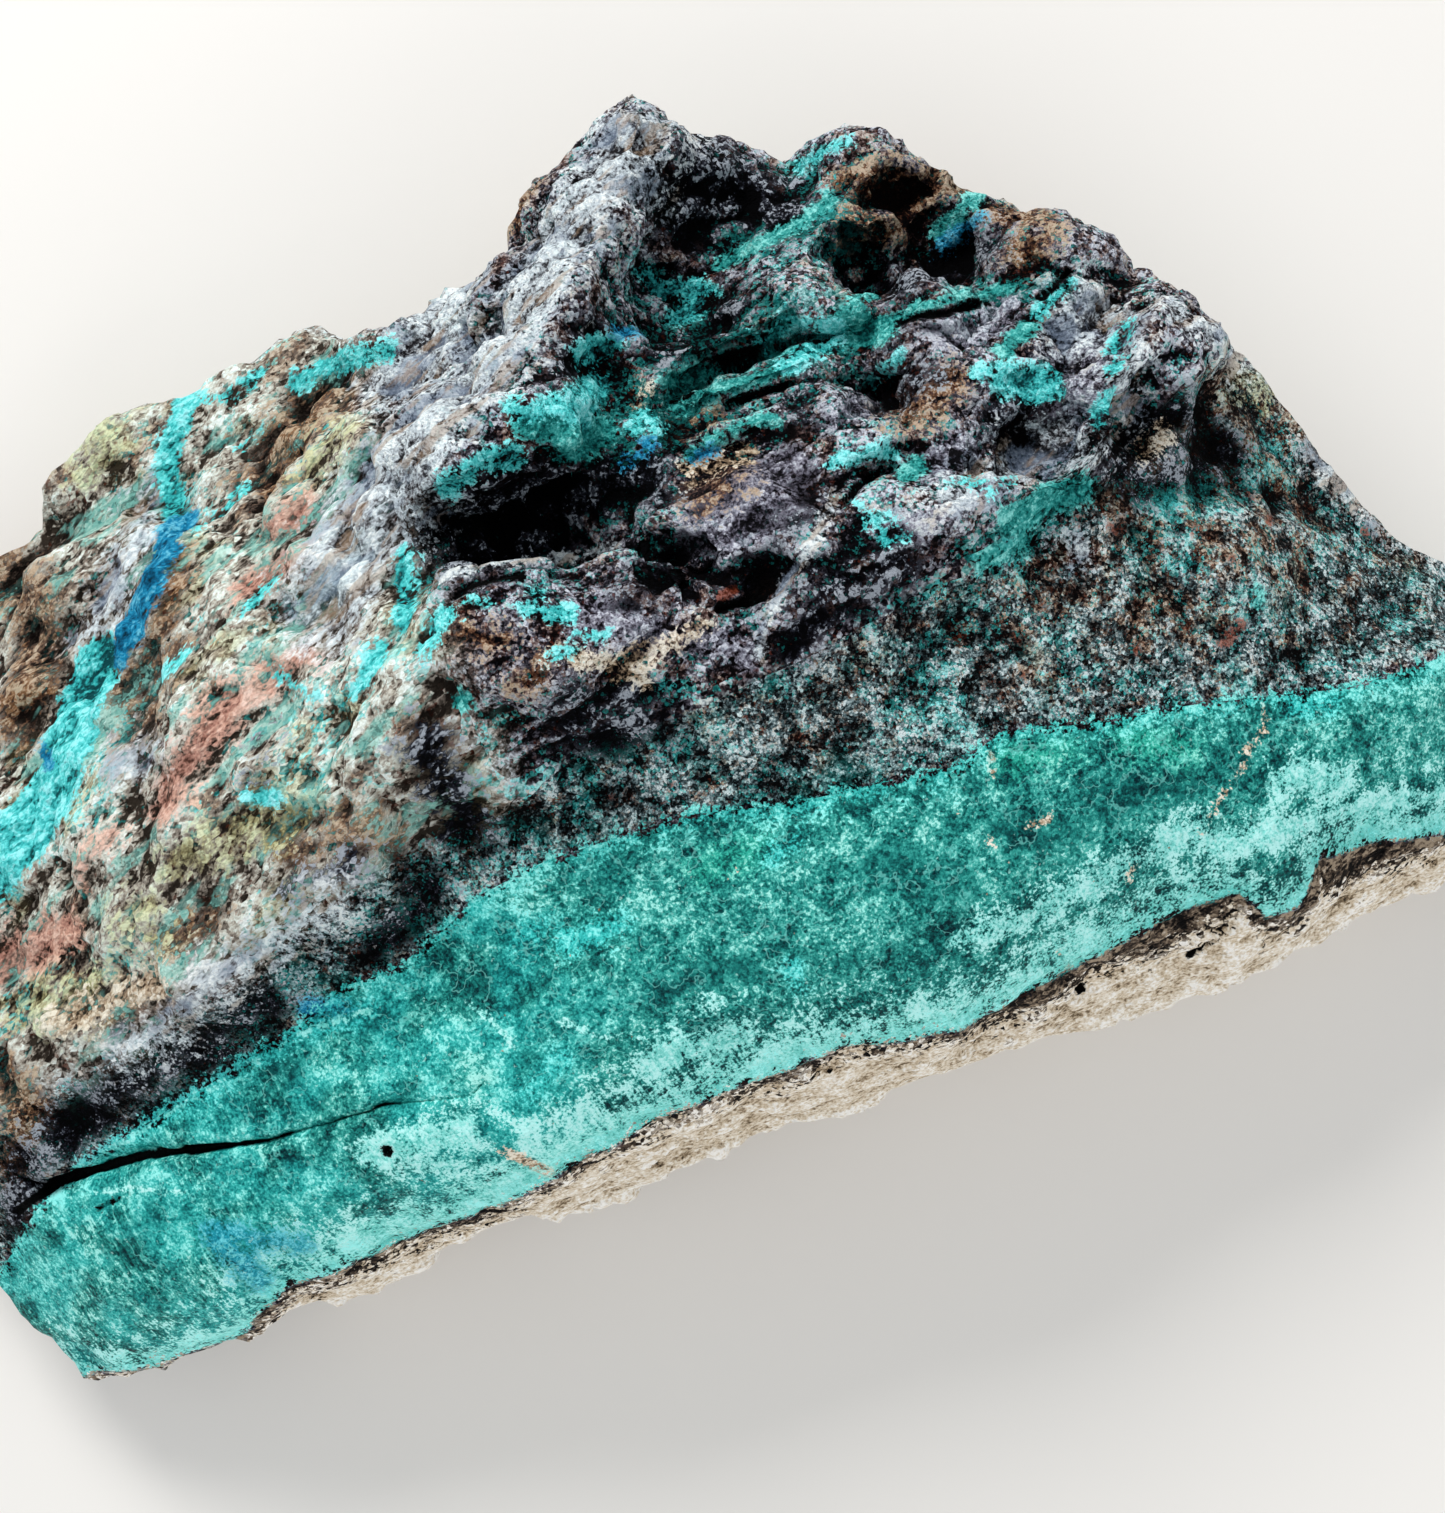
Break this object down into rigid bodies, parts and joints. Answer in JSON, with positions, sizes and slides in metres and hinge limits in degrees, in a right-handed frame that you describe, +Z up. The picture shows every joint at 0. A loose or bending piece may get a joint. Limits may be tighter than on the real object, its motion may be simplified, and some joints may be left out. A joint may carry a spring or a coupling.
{
  "type": "rough chrysocolla specimen",
  "caption": "Rough broken hand specimen of chrysocolla ore: a smooth green vein along the front face, a crest, a stepped recess behind it and a long rough slope, lying on a flat broken face.",
  "frame": {"origin": "a point of the flat broken face that the specimen lies on, near the middle of the piece", "axes": "+X along the green vein, from the low left end to the right end as seen from the vein's side; +Y from the vein to the back; +Z up"},
  "size_m": [0.1204, 0.0694, 0.0402],
  "materials": {
    "copper_ore": "rough broken rock, satin on the green vein"
  },
  "bodies": {
    "root": {"chrysocolla_rock": "copper_ore"}
  },
  "joints": []
}
